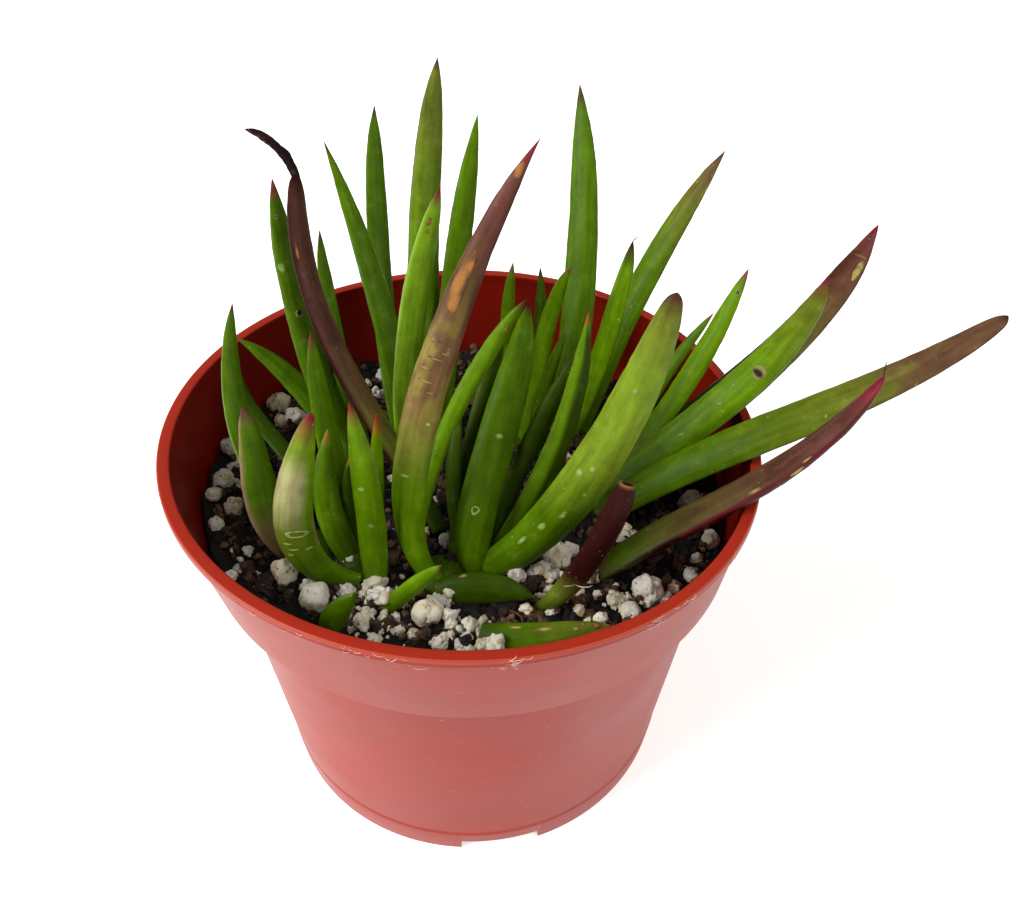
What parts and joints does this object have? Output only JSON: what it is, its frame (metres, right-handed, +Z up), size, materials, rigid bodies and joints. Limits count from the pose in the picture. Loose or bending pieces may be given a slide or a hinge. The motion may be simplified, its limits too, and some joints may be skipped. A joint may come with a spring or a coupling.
{
  "type": "potted succulent",
  "caption": "Clump of long pointed fleshy leaves, green with reddish tips, in a small tapered plastic nursery pot filled with dark soil and white perlite.",
  "frame": {"origin": "middle of the pot's flat underside", "axes": "+Z up along the pot's axis, +X towards the side over which the longest leaves reach, -Y towards the picture's viewer"},
  "size_m": [0.138, 0.103, 0.126],
  "materials": {
    "pot_plastic": "satin terracotta-coloured polypropylene",
    "potting_soil": "loose dark potting soil with bark and peat",
    "green_leaf": "smooth waxy leaf skin",
    "purple_leaf": "smooth waxy leaf skin, sun-stressed purple-brown",
    "perlite": "matte expanded mineral, pitted"
  },
  "bodies": {
    "root": {"pot": "pot_plastic", "soil": "potting_soil", "rosette_front_left": "green_leaf", "rosette_left": "green_leaf", "rosette_mid_left": "green_leaf", "rosette_back_left": "green_leaf", "rosette_back": "green_leaf", "rosette_back_middle": "green_leaf", "rosette_back_right": "green_leaf", "rosette_right": "green_leaf", "rosettes_middle": "green_leaf", "leaf_low_right": "purple_leaf", "leaf_bent_back": "purple_leaf", "leaf_cut_off": "purple_leaf", "leaf_at_front_rim": "green_leaf", "shoot_front": "green_leaf", "bud_front_left": "green_leaf", "perlite_01": "perlite", "perlite_02": "perlite", "perlite_03": "perlite", "perlite_04": "perlite", "perlite_05": "perlite", "perlite_06": "perlite", "perlite_07": "perlite", "perlite_08": "perlite", "perlite_09": "perlite", "perlite_10": "perlite", "perlite_11": "perlite", "perlite_12": "perlite", "perlite_13": "perlite", "perlite_14": "perlite", "perlite_15": "perlite", "perlite_16": "perlite", "perlite_17": "perlite", "perlite_18": "perlite", "perlite_19": "perlite", "perlite_20": "perlite", "perlite_21": "perlite", "perlite_22": "perlite", "perlite_23": "perlite", "perlite_24": "perlite", "perlite_25": "perlite", "perlite_26": "perlite", "perlite_27": "perlite", "perlite_28": "perlite", "perlite_29": "perlite", "perlite_30": "perlite", "perlite_31": "perlite", "perlite_32": "perlite", "perlite_33": "perlite", "perlite_34": "perlite"}
  },
  "joints": []
}
